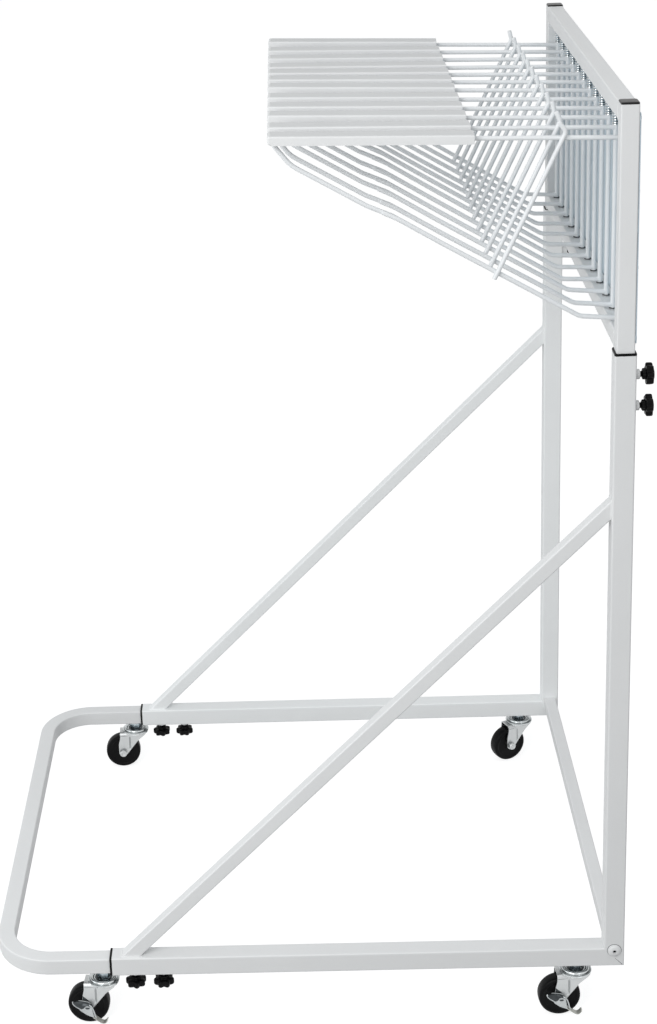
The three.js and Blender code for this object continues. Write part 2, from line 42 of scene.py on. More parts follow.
# Sizes in millimetres, the same as the frame's own. The front is -X and the near side is -Y.
SPAN = 750
OUTER = 30
INNER = 25
WALL = 1.2
BASE_Z = 86
BASE_LENGTH = 761
POST_TOP_Z = BASE_Z + 958
FRONT_REACH = 941
REAR_X = (FRONT_REACH - 28) / 2
AXIS_X = REAR_X - OUTER / 2
BRACE = 20
BRACE_FOOT = 732
CROSS_Z = BASE_Z + 27
RAIL_LOW_Z = POST_TOP_Z + 4
TOP_Z = BASE_Z + 1302
ARM_PITCH = 60
ARM_LOW_Z = RAIL_LOW_Z + INNER + 6
ARM_HEIGHT = 252.5
ARM_TILT = math.radians(1.6)
ARM_FRONT = 470
WIRE_R = 3.25
ARM_SWING = (-0.3, -0.8, 0.8, 0.4, 0.7, 2.2, 1.6, 0.3, -1.4, -0.4, 0.4, 2.4)
# Lean of a strut's tip and rise of the lower wire's first bend, for arms 1, 2, 3 and the rest.
ARM_FORMS = ((37, 4.6), (22, 4.4), (13, 4.2), (13, 1.8))
SLEEVE_BACK = 198
SLEEVE_FRONT = 472.5
SLEEVE_UP = 7.9
SLEEVE_DOWN = 4.6
REAR_NUT = {"near": 6, "far": 8.6}
BASE_NUT = 5.6
POST_RIM = {"near": 3.2, "far": 0.5}
RIVET_HEAD = ((0, -0.3), (4, -0.3), (4, 0.2), (3.6, 0.7), (2.6, 1.1), (1.5, 1.25), (1.4, 0.7), (0, 0.6))
REAR_KNOB_Z = (BASE_Z + 927, BASE_Z + 882)
BASE_KNOB_X = (REAR_X - 727.5, REAR_X - 685.5)
WHEEL_R = 31.5
TRAIL = 24.5
FORK_TOP_Z = 71
SIDES = (("near", -SPAN / 2), ("far", SPAN / 2))
CASTERS = (
    ("front_near", REAR_X - 776, -SPAN / 2, 88.5, -4),
    ("rear_near", REAR_X - 70, -SPAN / 2, 86, 4),
    ("front_far", REAR_X - 776, SPAN / 2, 88.5, 3),
    ("rear_far", REAR_X - 70, SPAN / 2, 86, 26),
)
X_AXIS = Vector((1, 0, 0))
Y_AXIS = Vector((0, 1, 0))
Z_AXIS = Vector((0, 0, 1))


# Colours and nodes

def linear(code):
    """A colour written as sRGB hex, as linear red, green, blue and alpha."""
    channels = [int(code[i:i + 2], 16) / 255 for i in (1, 3, 5)]
    curved = [c / 12.92 if c <= 0.04045 else ((c + 0.055) / 1.055) ** 2.4 for c in channels]
    return (*curved, 1.0)


def add(tree, kind, settings=None, inputs=None):
    """A node with its settings. An input given as a socket is linked, and any other value is set."""
    made = tree.nodes.new(kind)
    for key, value in (settings or {}).items():
        setattr(made, key, value)
    for key, value in (inputs or {}).items():
        if isinstance(value, bpy.types.NodeSocket):
            tree.links.new(value, made.inputs[key])
        else:
            made.inputs[key].default_value = value
    return made


def new_material(name):
    material = bpy.data.materials.new(name)
    material.use_nodes = True
    tree = material.node_tree
    return material, tree, tree.nodes["Principled BSDF"]


def powder_coat(name, pale, deep, roughness):
    """Powder-coated steel, sprayed and baked: a satin skin with a faint orange peel and soft uneven tone."""
    material, tree, shader = new_material(name)
    place = add(tree, "ShaderNodeTexCoord").outputs["Object"]
    # Tone drifts over about 90 mm, as the coat's thickness does.
    drift = add(tree, "ShaderNodeTexNoise", {}, {"Vector": place, "Scale": 11, "Detail": 3, "Roughness": 0.5})
    tone = add(tree, "ShaderNodeMix", {"data_type": "RGBA"},
               {"Factor": drift.outputs["Fac"], 6: linear(deep), 7: linear(pale)})
    # Orange peel is about 1.5 mm across; it is drawn at 4 mm to show.
    peel = add(tree, "ShaderNodeTexNoise", {}, {"Vector": place, "Scale": 250, "Detail": 2, "Roughness": 0.4})
    relief = add(tree, "ShaderNodeBump", {}, {"Height": peel.outputs["Fac"], "Strength": 0.12, "Distance": 0.0006})
    gloss = add(tree, "ShaderNodeMapRange", {},
                {"Value": peel.outputs["Fac"], "To Min": roughness - 0.05, "To Max": roughness + 0.07})
    tree.links.new(tone.outputs[2], shader.inputs["Base Color"])
    tree.links.new(gloss.outputs["Result"], shader.inputs["Roughness"])
    tree.links.new(relief.outputs["Normal"], shader.inputs["Normal"])
    shader.inputs["IOR"].default_value = 1.5
    return material


def moulded_plastic(name, colour, worn, roughness, shine):
    """Injection-moulded black plastic: fine spark-eroded grain that scatters the shine, paler where it is rubbed."""
    material, tree, shader = new_material(name)
    place = add(tree, "ShaderNodeTexCoord").outputs["Object"]
    # The grain is about 0.3 mm; it is drawn at 1.2 mm to show.
    grain = add(tree, "ShaderNodeTexNoise", {}, {"Vector": place, "Scale": 830, "Detail": 3, "Roughness": 0.6})
    rubbed = add(tree, "ShaderNodeTexNoise", {}, {"Vector": place, "Scale": 70, "Detail": 4, "Roughness": 0.6})
    amount = add(tree, "ShaderNodeMapRange", {},
                 {"Value": rubbed.outputs["Fac"], "From Min": 0.45, "From Max": 0.8})
    tone = add(tree, "ShaderNodeMix", {"data_type": "RGBA"},
               {"Factor": amount.outputs["Result"], 6: linear(colour), 7: linear(worn)})
    relief = add(tree, "ShaderNodeBump", {}, {"Height": grain.outputs["Fac"], "Strength": 0.18, "Distance": 0.0003})
    gloss = add(tree, "ShaderNodeMapRange", {},
                {"Value": grain.outputs["Fac"], "To Min": roughness - 0.06, "To Max": roughness + 0.08})
    tree.links.new(tone.outputs[2], shader.inputs["Base Color"])
    tree.links.new(gloss.outputs["Result"], shader.inputs["Roughness"])
    tree.links.new(relief.outputs["Normal"], shader.inputs["Normal"])
    shader.inputs["IOR"].default_value = 1.49
    shader.inputs["Specular IOR Level"].default_value = shine
    return material


def bright_zinc(name, pale, deep, roughness):
    """Pressed steel with bright zinc plating: a cold mirror broken up by press marks and cloudy patches."""
    material, tree, shader = new_material(name)
    place = add(tree, "ShaderNodeTexCoord").outputs["Object"]
    # Clouds of the passivated plating are about 8 mm across.
    cloud = add(tree, "ShaderNodeTexNoise", {}, {"Vector": place, "Scale": 125, "Detail": 4, "Roughness": 0.6})
    # Press marks are about 0.5 mm; they are drawn at 1.5 mm to show.
    marks = add(tree, "ShaderNodeTexNoise", {}, {"Vector": place, "Scale": 660, "Detail": 2, "Roughness": 0.5})
    tone = add(tree, "ShaderNodeMix", {"data_type": "RGBA"},
               {"Factor": cloud.outputs["Fac"], 6: linear(deep), 7: linear(pale)})
    gloss = add(tree, "ShaderNodeMapRange", {},
                {"Value": cloud.outputs["Fac"], "From Min": 0.3, "From Max": 0.7,
                 "To Min": roughness - 0.07, "To Max": roughness + 0.09})
    relief = add(tree, "ShaderNodeBump", {}, {"Height": marks.outputs["Fac"], "Strength": 0.05, "Distance": 0.0003})
    tree.links.new(tone.outputs[2], shader.inputs["Base Color"])
    tree.links.new(gloss.outputs["Result"], shader.inputs["Roughness"])
    tree.links.new(relief.outputs["Normal"], shader.inputs["Normal"])
    shader.inputs["Metallic"].default_value = 1.0
    return material


FRAME_COAT = powder_coat("powder_coat_frame", "#e7e8e8", "#e1e2e2", 0.52)
# The far frame's coat is the frame's coat drawn lighter: painted light on the far side frame.
LIGHTER_FAR_COAT = powder_coat("frame_coat_far_painted_light", "#f5f7f7", "#eff1f1", 0.52)
WIRE_COAT = powder_coat("powder_coat_wire", "#edeff0", "#e4e7e9", 0.38)
# The sleeve's coat is drawn a little lighter for its lit sides, and the strip on its top darker: painted light and
# painted shade.
SLEEVE_COAT = powder_coat("powder_coat_sleeve", "#e9eaea", "#e3e4e4", 0.5)
SHADE_STRIP_COAT = powder_coat("grey_top_strip_painted_shade", "#dfe0e0", "#d9dada", 0.6)
# The back sheet's coat is darker and bluer than the frame's: painted shade behind the rods.
SHADED_PANEL_COAT = powder_coat("back_panel_coat_painted_shade", "#c5d2da", "#b8c7d0", 0.5)
# Grey primer in the ground mitre seams; the same grey also draws the painted shadow ring round each bolt head.
PRIMER_AND_SHADOW = powder_coat("grey_primer_and_painted_shadow", "#6f7174", "#5a5c5f", 0.6)
# Black nylon for the collars and knobs; the same black also draws the painted shade in the bolts' sockets.
BLACK = moulded_plastic("black_nylon_and_socket_shade", "#040405", "#0d0d0e", 0.38, 0.1)
CAP_BLACK = moulded_plastic("black_gloss_polyethylene", "#060607", "#101011", 0.32, 0.24)
TYRE = moulded_plastic("black_polypropylene_wheel", "#070708", "#101112", 0.42, 0.1)
ZINC = bright_zinc("bright_zinc_fork_sheet", "#cdcfcf", "#b6b9ba", 0.44)
RACE_ZINC = bright_zinc("bright_zinc_raceway", "#dadddd", "#aeb4b6", 0.2)
# Darker and bluer than the raceway: partly the nut's blue passivation, partly painted shade, for the nut under the tube
# and for the rod end inside each spring.
SHADED_BLUE_ZINC = bright_zinc("blue_zinc_nut_and_painted_shade", "#ccd6db", "#7f8c94", 0.24)
PEDAL_ZINC = bright_zinc("bright_zinc_pedal", "#c6c9ca", "#9fa4a5", 0.28)
TOE_ZINC = bright_zinc("worn_zinc_pedal_toe", "#cfd0cb", "#b3b4af", 0.6)
# Dark zinc drawn only for painted shade: raceway grooves, washers under the arms, marks on the fork legs and the
# pedals' hollows.
SHADE_ZINC = bright_zinc("dark_zinc_painted_shade", "#54585a", "#2b2e30", 0.34)
SPRING_STEEL = bright_zinc("bright_zinc_spring_wire", "#e2e4e5", "#b9bec0", 0.2)


# Shapes, all in millimetres until they become meshes

class Shape:
    """Points and faces gathered from several lofts, to be made into one piece."""

    def __init__(self):
        self.points = []
        self.faces = []

    def loft(self, rings, closed=False, cap_start=True, cap_end=True):
        """Joins rings of equal count, each to the next. closed joins the last to the first."""
        first = len(self.points)
        count = len(rings[0])
        for ring in rings:
            self.points.extend(Vector(p) for p in ring)
        spans = len(rings) if closed else len(rings) - 1
        for i in range(spans):
            a = first + i * count
            b = first + ((i + 1) % len(rings)) * count
            for j in range(count):
                k = (j + 1) % count
                self.faces.append((a + j, a + k, b + k, b + j))
        if cap_start and not closed:
            self.faces.append(tuple(first + j for j in reversed(range(count))))
        if cap_end and not closed:
            last = first + (len(rings) - 1) * count
            self.faces.append(tuple(last + j for j in range(count)))
        return self

    def lathe(self, profile, place=Matrix.Identity(4), sides=32, closed=False):
        """Turns (radius, height) points about the Z axis of a placing matrix."""
        rings = []
        for r, z in profile:
            ring = []
            for j in range(sides):
                angle = 2 * math.pi * j / sides
                ring.append(place @ Vector((max(r, 0.001) * math.cos(angle), max(r, 0.001) * math.sin(angle), z)))
            rings.append(ring)
        return self.loft(rings, closed=closed)

    def move(self, matrix):
        self.points = [matrix @ p for p in self.points]
        return self

    def piece(self, name, material, body, slot, replaces=(), sharp=38):
        return place_mesh(self.mesh(name, material, sharp), name, body, replaces)

    def mesh(self, name, material, sharp=38):
        data = bpy.data.meshes.new(name)
        data.from_pydata([p * MM for p in self.points], [], self.faces)
        work = bmesh.new()
        work.from_mesh(data)
        bmesh.ops.remove_doubles(work, verts=work.verts, dist=1e-6)
        bmesh.ops.recalc_face_normals(work, faces=work.faces)
        for face in work.faces:
            face.smooth = True
        for edge in work.edges:
            edge.smooth = len(edge.link_faces) == 2 and edge.calc_face_angle(0) < math.radians(sharp)
        work.to_mesh(data)
        work.free()
        data.materials.append(material)
        return data


def place_mesh(data, name, body, replaces=(), place=None):
    """An object of a mesh, put in place in the row frame and fixed to its body."""
    made = bpy.data.objects.new(name, data)
    bpy.context.scene.collection.objects.link(made)
    if place is not None:
        made.matrix_world = place
    even = made.modifiers.new("even_normals", "WEIGHTED_NORMAL")
    even.keep_sharp = True
    even.weight = 80
    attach(made, body)
    if replaces:
        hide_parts(*replaces)
    return made


def rounded_rect(width, height, r, steps=4, centre=(0, 0)):
    """Outline of a rounded rectangle as (a, b) points, counter-clockwise."""
    points = []
    for k, (sx, sy) in enumerate(((1, -1), (1, 1), (-1, 1), (-1, -1))):
        for j in range(steps + 1):
            angle = math.radians(-90 + 90 * k + 90 * j / steps)
            points.append((centre[0] + sx * (width / 2 - r) + r * math.cos(angle),
                           centre[1] + sy * (height / 2 - r) + r * math.sin(angle)))
    return points


def circle(r, sides):
    return [(r * math.cos(2 * math.pi * j / sides), r * math.sin(2 * math.pi * j / sides)) for j in range(sides)]


def bent_path(corners, step_angle=6):
    """(point, direction) stations along straight runs and round bends; a corner is (point, radius)."""
    stations = []
    for i, (at, r) in enumerate(corners):
        at = Vector(at)
        before = (at - Vector(corners[i - 1][0])).normalized() if i else None
        after = (Vector(corners[i + 1][0]) - at).normalized() if i < len(corners) - 1 else None
        if before is None or after is None:
            stations.append((at, before or after))
            continue
        turn = before.angle(after)
        axis = before.cross(after).normalized()
        start = at - before * r * math.tan(turn / 2)
        centre = start + axis.cross(before) * r
        steps = max(1, math.ceil(math.degrees(turn) / step_angle))
        for k in range(steps + 1):
            spin = Matrix.Rotation(turn * k / steps, 3, axis)
            stations.append((centre + spin @ (start - centre), spin @ before))
    return stations


def rings_along(stations, section, up):
    """The section's rings square to each station of a path that lies in the plane facing up."""
    rings = []
    for point, direction in stations:
        side = up.cross(direction).normalized()
        rings.append([point + side * a + up * b for a, b in section])
    return rings


def round_ends(stations, r):
    """Rings' scale and shift that dome both cut ends of a wire a little."""
    (first, ahead), (last, onward) = stations[0], stations[-1]
    edge = 0.35 * r
    head = [(first + ahead * edge * (1 - math.cos(t)), ahead, 1 - 0.35 * (1 - math.sin(t)))
            for t in (0, math.pi / 4, math.pi / 2)]
    tail = [(last - onward * edge * (1 - math.cos(t)), onward, 1 - 0.35 * (1 - math.sin(t)))
            for t in (math.pi / 2, math.pi / 4, 0)]
    return head + [(p, d, 1) for p, d in stations[1:-1]] + tail


def wire(shape, corners, r, up, sides=14, step_angle=6):
    """A round wire along a bent path, its cut ends slightly domed."""
    stations = round_ends(bent_path(corners, step_angle), r)
    rings = []
    for point, direction, scale in stations:
        side = up.cross(direction).normalized()
        rings.append([point + side * a * scale + up * b * scale for a, b in circle(r, sides)])
    return shape.loft(rings)


def weld_bead(shape, outline, normal, r):
    """A rippled weld bead along a closed outline that lies on a face with the given normal."""
    count = len(outline)
    middle = sum(outline, Vector()) / count
    rings = []
    for i, point in enumerate(outline):
        along = (outline[(i + 1) % count] - outline[i - 1]).normalized()
        out = along.cross(normal).normalized()
        if out.dot(point - middle) < 0:
            out = -out
        size = r * (1 + 0.10 * math.sin(2.1 * i) + 0.06 * math.sin(0.7 * i + 1))
        rings.append([point + out * a * size + normal * b * size for a, b in circle(1, 8)])
    return shape.loft(rings, closed=True)


def dense(outline, step):
    """The closed outline with points added so that none are further apart than step."""
    points = []
    for a, b in zip(outline, outline[1:] + outline[:1]):
        parts = max(1, math.ceil((b - a).length / step))
        points.extend(a.lerp(b, k / parts) for k in range(parts))
    return points


# Square tubes

def frame_ring(y, size, r, at):
    """A post's outline at centre line x = AXIS_X, with each point's height given by at(x)."""
    ring = []
    for a, b in rounded_rect(size, size, r):
        x = AXIS_X + a
        ring.append(Vector((x, y + b, at(x))))
    return ring


def side_frame(side, y):
    """One side frame: base tube and post mitred at the rear corner, brace, weld beads and weld nuts."""
    tubes = Shape()
    inside = OUTER - 2 * WALL
    mitre = [frame_ring(y, OUTER, 2.6, lambda x: BASE_Z + REAR_X - x),
             frame_ring(y, OUTER, 2.6, lambda x: POST_TOP_Z),
             frame_ring(y, inside, 1.6, lambda x: POST_TOP_Z),
             frame_ring(y, inside, 1.6, lambda x: POST_TOP_Z - 60)]
    tubes.loft(mitre, cap_start=False)
    front = REAR_X - BASE_LENGTH
    mid = BASE_Z + OUTER / 2

    def base_ring(size, r, rear):
        ring = []
        for a, b in rounded_rect(size, size, r):
            z = mid + a
            x = REAR_X - (z - BASE_Z) if rear is None else rear
            ring.append(Vector((x, y + b, z)))
        return ring

    tubes.loft([base_ring(OUTER, 2.6, None), base_ring(OUTER, 2.6, front), base_ring(inside, 1.6, front),
                base_ring(inside, 1.6, front + 60)], cap_start=False)
    # The brace runs at 45 degrees from the post's front face to the base tube's top face.
    post_face = REAR_X - OUTER
    base_face = BASE_Z + OUTER
    rise = BASE_Z + BRACE_FOOT + OUTER - REAR_X
    top_ring, foot_ring = [], []
    for a, b in rounded_rect(BRACE, BRACE, 2.2):
        lift = rise + a * math.sqrt(2)
        top_ring.append(Vector((post_face, y + b, post_face + lift)))
        foot_ring.append(Vector((base_face - lift, y + b, base_face)))
    tubes.loft([foot_ring, top_ring], cap_start=False, cap_end=False)
    for ring, normal in ((top_ring, -X_AXIS), (foot_ring, Z_AXIS)):
        weld_bead(tubes, dense(ring, 2.2), normal, 1.5)
    for z in REAR_KNOB_Z:
        place = Matrix.Translation((REAR_X, y, z)) @ Matrix.Rotation(math.pi / 2, 4, "Y")
        weld_nut(tubes, place, REAR_NUT[side])
    for x in BASE_KNOB_X:
        place = Matrix.Translation((x, y, BASE_Z)) @ Matrix.Rotation(math.pi, 4, "X")
        weld_nut(tubes, place, BASE_NUT)
    # The far frame takes the lighter coat: painted light.
    tubes.piece(f"welded_frame_{side}", LIGHTER_FAR_COAT if side == "far" else FRAME_COAT, "frame", "frame_paint", [f"side_frame_{side}"])
    # The mitre was ground flush, and shows only as a short line at the outer corner.
    seam = Shape()
    out = -1 if y < 0 else 1
    for sign in (1, -1):
        face = y + sign * out * (OUTER / 2 + 0.04)
        ring = [(REAR_X - d - w, face, BASE_Z + d - w)
                for d, w in ((3, 0.34), (13.5, 0.16), (13.5, -0.16), (3, -0.34))]
        seam.loft([ring, [(x, yy - sign * out * 0.3, z) for x, yy, z in ring]])
    seam.piece(f"mitre_line_{side}", PRIMER_AND_SHADOW, "frame", "frame_paint")


def weld_nut(shape, place, length):
    """A round weld nut with its bead, on a face at z = 0 of the placing matrix."""
    shape.lathe([(4.3, -1.5), (4.3, length - 0.5), (4.9, length), (6.3, length), (7, length - 0.7), (7, 1.6),
                 (7.7, 0.9), (8.6, 0.1), (8.6, -1)], place, 36)


def upper_frame():
    tubes = Shape()
    inside = INNER - 2 * WALL
    low = POST_TOP_Z - 364
    for _, y in SIDES:
        tubes.loft([frame_ring(y, inside, 1.2, lambda x: low + 40), frame_ring(y, inside, 1.2, lambda x: low),
                    frame_ring(y, INNER, 2.2, lambda x: low), frame_ring(y, INNER, 2.2, lambda x: TOP_Z - 0.4),
                    frame_ring(y, INNER - 0.8, 1.8, lambda x: TOP_Z), frame_ring(y, inside, 1.2, lambda x: TOP_Z),
                    frame_ring(y, inside, 1.2, lambda x: TOP_Z - 16)])
    reach = SPAN / 2 - INNER / 2
    for z in (RAIL_LOW_Z + INNER / 2, TOP_Z - INNER / 2):
        ends = []
        for y in (-reach - 0.2, reach + 0.2):
            ends.append([Vector((AXIS_X + a, y, z + b)) for a, b in rounded_rect(INNER, INNER, 2.2)])
        tubes.loft(ends)
        for ring, normal in zip(ends, (Y_AXIS, -Y_AXIS)):
            weld_bead(tubes, dense(ring, 2.2), normal, 0.7)
    tubes.piece("mast_frame", FRAME_COAT, "upper", "frame_paint", ["upper_frame"])


def front_tube():
    tube = Shape()
    back = REAR_X - BASE_LENGTH + 300
    front = REAR_X - FRONT_REACH + INNER / 2
    z = BASE_Z + OUTER / 2
    path = bent_path([((back, -SPAN / 2, z), 0), ((front, -SPAN / 2, z), 75), ((front, SPAN / 2, z), 75),
                      ((back, SPAN / 2, z), 0)], 4)
    inner = rounded_rect(INNER - 2 * WALL, INNER - 2 * WALL, 1.2)
    outer = rounded_rect(INNER, INNER, 2.2)
    rings = rings_along(path, outer, Z_AXIS)
    start = rings_along([path[0], (path[0][0] - X_AXIS * 30, path[0][1])], inner, Z_AXIS)
    end = rings_along([path[-1], (path[-1][0] - X_AXIS * 30, path[-1][1])], inner, Z_AXIS)
    tube.loft([start[1], start[0]] + rings + end)
    tube.piece("bent_foot_tube", FRAME_COAT, "front", "frame_paint", ["front_tube"])


def cross_tube():
    tube = Shape()
    reach = SPAN / 2 - OUTER / 2 - 0.3
    ends = [[Vector((AXIS_X + a, y, CROSS_Z + b)) for a, b in rounded_rect(20, 20, 2.2)] for y in (-reach, reach)]
    tube.loft(ends)
    tube.piece("cross_tie_tube", FRAME_COAT, "frame", "frame_paint", ["rear_cross_tube"])


# Black plastic fittings and bolts

def collar(name, place, node, rim=3.2):
    """A moulded collar: square rim on the tube's end and a thin sleeve inside it."""
    top = 0.3 + rim
    bore = INNER + 0.6
    layers = ((OUTER - 3, -20, 1.6), (OUTER - 3, 0.3, 1.6), (OUTER - 0.6, 0.3, 2.4), (OUTER, 0.6, 2.6),
              (OUTER, top - 0.25 * rim, 2.6), (OUTER - 0.9, top, 2.3), (bore + 0.6, top, 2.5), (bore, top - 0.5, 2.3),
              (bore, -20, 2.3))
    rings = [[place @ Vector((a, b, z)) for a, b in rounded_rect(size, size, r)] for size, z, r in layers]
    Shape().loft(rings, closed=True).piece(name, BLACK, "frame", "black_plastic", [node])


def cap(side, y):
    """A pushed-in cap on the top of an inner post: a plain plug inside, a crowned head as wide as the tube outside."""
    plug = INNER - 2 * WALL - 0.6
    layers = [(plug - 1.6, -12, 1), (plug - 0.4, -10, 1), (plug - 0.4, 0.35, 1), (INNER - 0.7, 0.35, 2.6),
              (INNER - 0.2, 0.7, 2.9), (INNER - 0.2, 1.5, 3.0), (INNER - 0.9, 2.3, 3.2), (INNER - 2.2, 2.75, 3.2),
              (INNER - 4.5, 2.95, 3.2), (INNER - 10, 3.1, 3), (4, 3.2, 1.5)]
    rings = [[Vector((AXIS_X + a, y + b, TOP_Z + z)) for a, b in rounded_rect(size, size, r)] for size, z, r in layers]
    Shape().loft(rings).piece(f"post_cap_{side}", CAP_BLACK, "upper", "black_plastic", [f"top_plug_{side}"])


def back_panel():
    """Sheet on the back of the upper frame, its edges turned over a hair and tacked to the posts. Its darker, bluer
    coat is painted shade.
    """
    sheet = Shape()
    front = AXIS_X + INNER / 2 + 0.3
    low, high = RAIL_LOW_Z + 12, TOP_Z - 12
    side = SPAN / 2 + INNER / 2 - 1.5
    rings = []
    for x, inset in ((front, 0.3), (front + 0.3, 0), (front + 1.2, 0), (front + 1.5, 0.3)):
        outline = rounded_rect(2 * (side - inset), high - low - 2 * inset, 2.5, 4, (0, (low + high) / 2))
        rings.append([Vector((x, a, b)) for a, b in outline])
    sheet.loft(rings)
    for y in (-side, side):
        out = -1 if y < 0 else 1
        for z in (low + 8, (low + high) / 2, high - 8):
            tack = Matrix.Translation((front + 0.3, y, z)) @ Matrix.Diagonal((0.8, 0.8, 4.5, 1))
            profile = [(math.sin(math.pi * k / 6), -math.cos(math.pi * k / 6)) for k in range(7)]
            sheet.lathe(profile, tack @ Matrix.Translation((0, out * 0.4, 0)), 10)
    sheet.piece("back_sheet", SHADED_PANEL_COAT, "upper", "frame_paint", ["back_panel"])
    rivets = Shape()
    inset = 7
    spots = [(y * (side - inset) / 4, z) for y in range(-4, 5) for z in (low + inset, high - inset)]
    spots += [(y, low + (high - low) * k / 3) for y in (inset - side, side - inset) for k in (1, 2)]
    for y, z in spots:
        rivets.lathe(RIVET_HEAD, Matrix.Translation((front + 1.5, y, z)) @ Matrix.Rotation(math.pi / 2, 4, "Y"), 20)
    rivets.piece("back_rivets", RACE_ZINC, "upper", "frame_paint")


def star_knob_mesh(nut):
    """Star knob with seven lobes, its cone hub and its stud, along +Z from the weld nut's end."""
    shape = Shape()
    around = 7 * 14
    tip = -nut - 2.2
    shape.lathe([(0, tip), (3, tip), (4, tip + 1), (4, 1.5)], sides=24)

    def ring(r, depth, z):
        points = []
        for j in range(around):
            angle = 2 * math.pi * j / around
            wave = (0.5 + 0.5 * math.cos(7 * angle)) ** 0.8
            reach = r - depth * (1 - wave)
            points.append((reach * math.cos(angle), reach * math.sin(angle), z))
        return points

    layers = [(3.3, 0, 0.9), (3.7, 0, 0.6), (3.7, 0, 1.6), (4.5, 0, 2.8), (6.9, 0.6, 3.4), (7.9, 1.2, 4.1),
              (8.1, 1.4, 5), (8.1, 1.4, 7.1), (8.7, 1.5, 7.8), (13.9, 2.8, 8.2), (15.2, 3.5, 8.9), (15.6, 3.8, 10.2), (15.6, 3.8, 14.8), (15.3, 3.7, 16.6), (14.5, 3.4, 17.5),
              (12, 2, 17.9), (9.4, 0.6, 18), (8.6, 0.2, 18.6), (6.8, 0, 19.2), (3.5, 0, 19.4), (0.4, 0, 19.4)]
    shape.loft([ring(*layer) for layer in layers])
    return shape.mesh("star_knob", BLACK, 50)


def knobs():
    base = star_knob_mesh(BASE_NUT)
    turns = iter((4, 19, 31, 11, 40, 7, 25, 14))
    for side, y in SIDES:
        nut = REAR_NUT[side]
        rear = star_knob_mesh(nut)
        for k, z in enumerate(REAR_KNOB_Z, 1):
            name = f"rear_knob_{side}_{k}"
            place = Matrix.Translation(Vector((REAR_X + nut, y, z)) * MM) @ Matrix.Rotation(math.pi / 2, 4, "Y")
            spin = Matrix.Rotation(math.radians(next(turns)), 4, "Z")
            place_mesh(rear, f"star_{name}", name, [name], place @ spin)
        for k, x in enumerate(BASE_KNOB_X, 1):
            name = f"base_knob_{side}_{k}"
            place = Matrix.Translation(Vector((x, y, BASE_Z - BASE_NUT)) * MM) @ Matrix.Rotation(math.pi, 4, "X")
            spin = Matrix.Rotation(math.radians(next(turns)), 4, "Z")
            place_mesh(base, f"star_{name}", name, [name], place @ spin)


def cross_bolt(side, y):
    """Painted-over button head with a hexagon socket, and its shank."""
    out = -1 if y < 0 else 1
    place = Matrix.Translation((AXIS_X, y + out * OUTER / 2, CROSS_Z)) @ Matrix.Rotation(-out * math.pi / 2, 4, "X")
    shape = Shape()
    shape.lathe([(0, -42), (4, -42), (4, 0.1), (9.6, 0.1), (10, 0.4), (10, 1.2), (9.6, 1.6), (8.4, 1.7), (8.1, 2.6),
                 (7.0, 3.5), (4.8, 4.1), (2.9, 4.2), (2.6, 3.9)], place, 40)
    shape.faces.pop()
    socket = []
    for z in (3.9, 1.4):
        socket.append([place @ Vector((2.6 * math.cos(math.pi * j / 3), 2.6 * math.sin(math.pi * j / 3), z))
                       for j in range(6)])
    shape.loft(socket, cap_start=False)
    shape.piece(f"socket_bolt_{side}", FRAME_COAT, "frame", "zinc", [f"cross_bolt_{side}"])
    # A black disc at the bottom of the hexagon socket: painted shade in the hole.
    dark = Shape()
    dark.lathe([(0, 1.2), (2.5, 1.2), (2.5, 1.6), (0, 1.6)], place, 6)
    dark.piece(f"socket_shade_{side}", BLACK, "frame", "zinc")
    # A dark ring round the button head's flange: painted shadow.
    shadow_ring = Shape()
    shadow_ring.lathe([(9.8, -0.2), (10.7, -0.2), (10.7, 0.06), (9.8, 0.06)], place, 40, closed=True)
    shadow_ring.piece(f"painted_shadow_ring_{side}", PRIMER_AND_SHADOW, "frame", "zinc")


# Arms

def at(s, z, y=0):
    """A point of an arm: s ahead of the pivot, z above the lower wire."""
    return Vector((-s, y, z))


def arm_mesh(lean, rise):
    """Wire loop of two lapped wires, pivot rod and strut of an arm, with the weld nuggets between them."""
    shape = Shape()
    top = ARM_HEIGHT + ARM_FRONT * math.tan(ARM_TILT)
    # The upper wire ends behind the lower one, which starts with its cut end on the near side.
    upper = [(at(0, ARM_HEIGHT), 0), (at(ARM_FRONT, top), 6), (at(442, 229.8), 50), (at(341, 170), 25),
             (at(308, 155.2, 1.2), 25), (at(268, 130.6, 1.2), 0)]
    lower = [(at(321, 161, -1.6), 0), (at(300, 151, -1.8), 25), (at(240, 114, -0.6), 60), (at(54.5, rise), 22), (at(0, 0), 0)]
    wire(shape, upper, WIRE_R, Y_AXIS)
    wire(shape, lower, WIRE_R + 0.1, Y_AXIS)
    wire(shape, [((0, 0, -15), 0), ((0, 0, ARM_HEIGHT + 38), 0)], WIRE_R, Y_AXIS, 16)
    bend = Vector((76, 264.5))
    tip = bend + 15 * Vector((math.sin(math.radians(lean)), math.cos(math.radians(lean))))
    wire(shape, [(at(171, 63, -6), 0), (at(*bend, -6), 8), (at(*tip, -6), 0)], WIRE_R, Y_AXIS)
    nuggets = ((at(168.4, 67.2, -3), 3.4), (at(80.6, 254.8, -3), 3.2), (at(2.6, ARM_HEIGHT), 4.0), (at(2.6, 0), 4.0))
    for centre, r in nuggets:
        profile = [(r * math.sin(math.pi * k / 8), -r * math.cos(math.pi * k / 8)) for k in range(9)]
        shape.lathe(profile, Matrix.Translation(centre) @ Matrix.Diagonal((1.05, 0.8, 1.05, 1)), 14)
    return shape.mesh("arm_wire", WIRE_COAT)


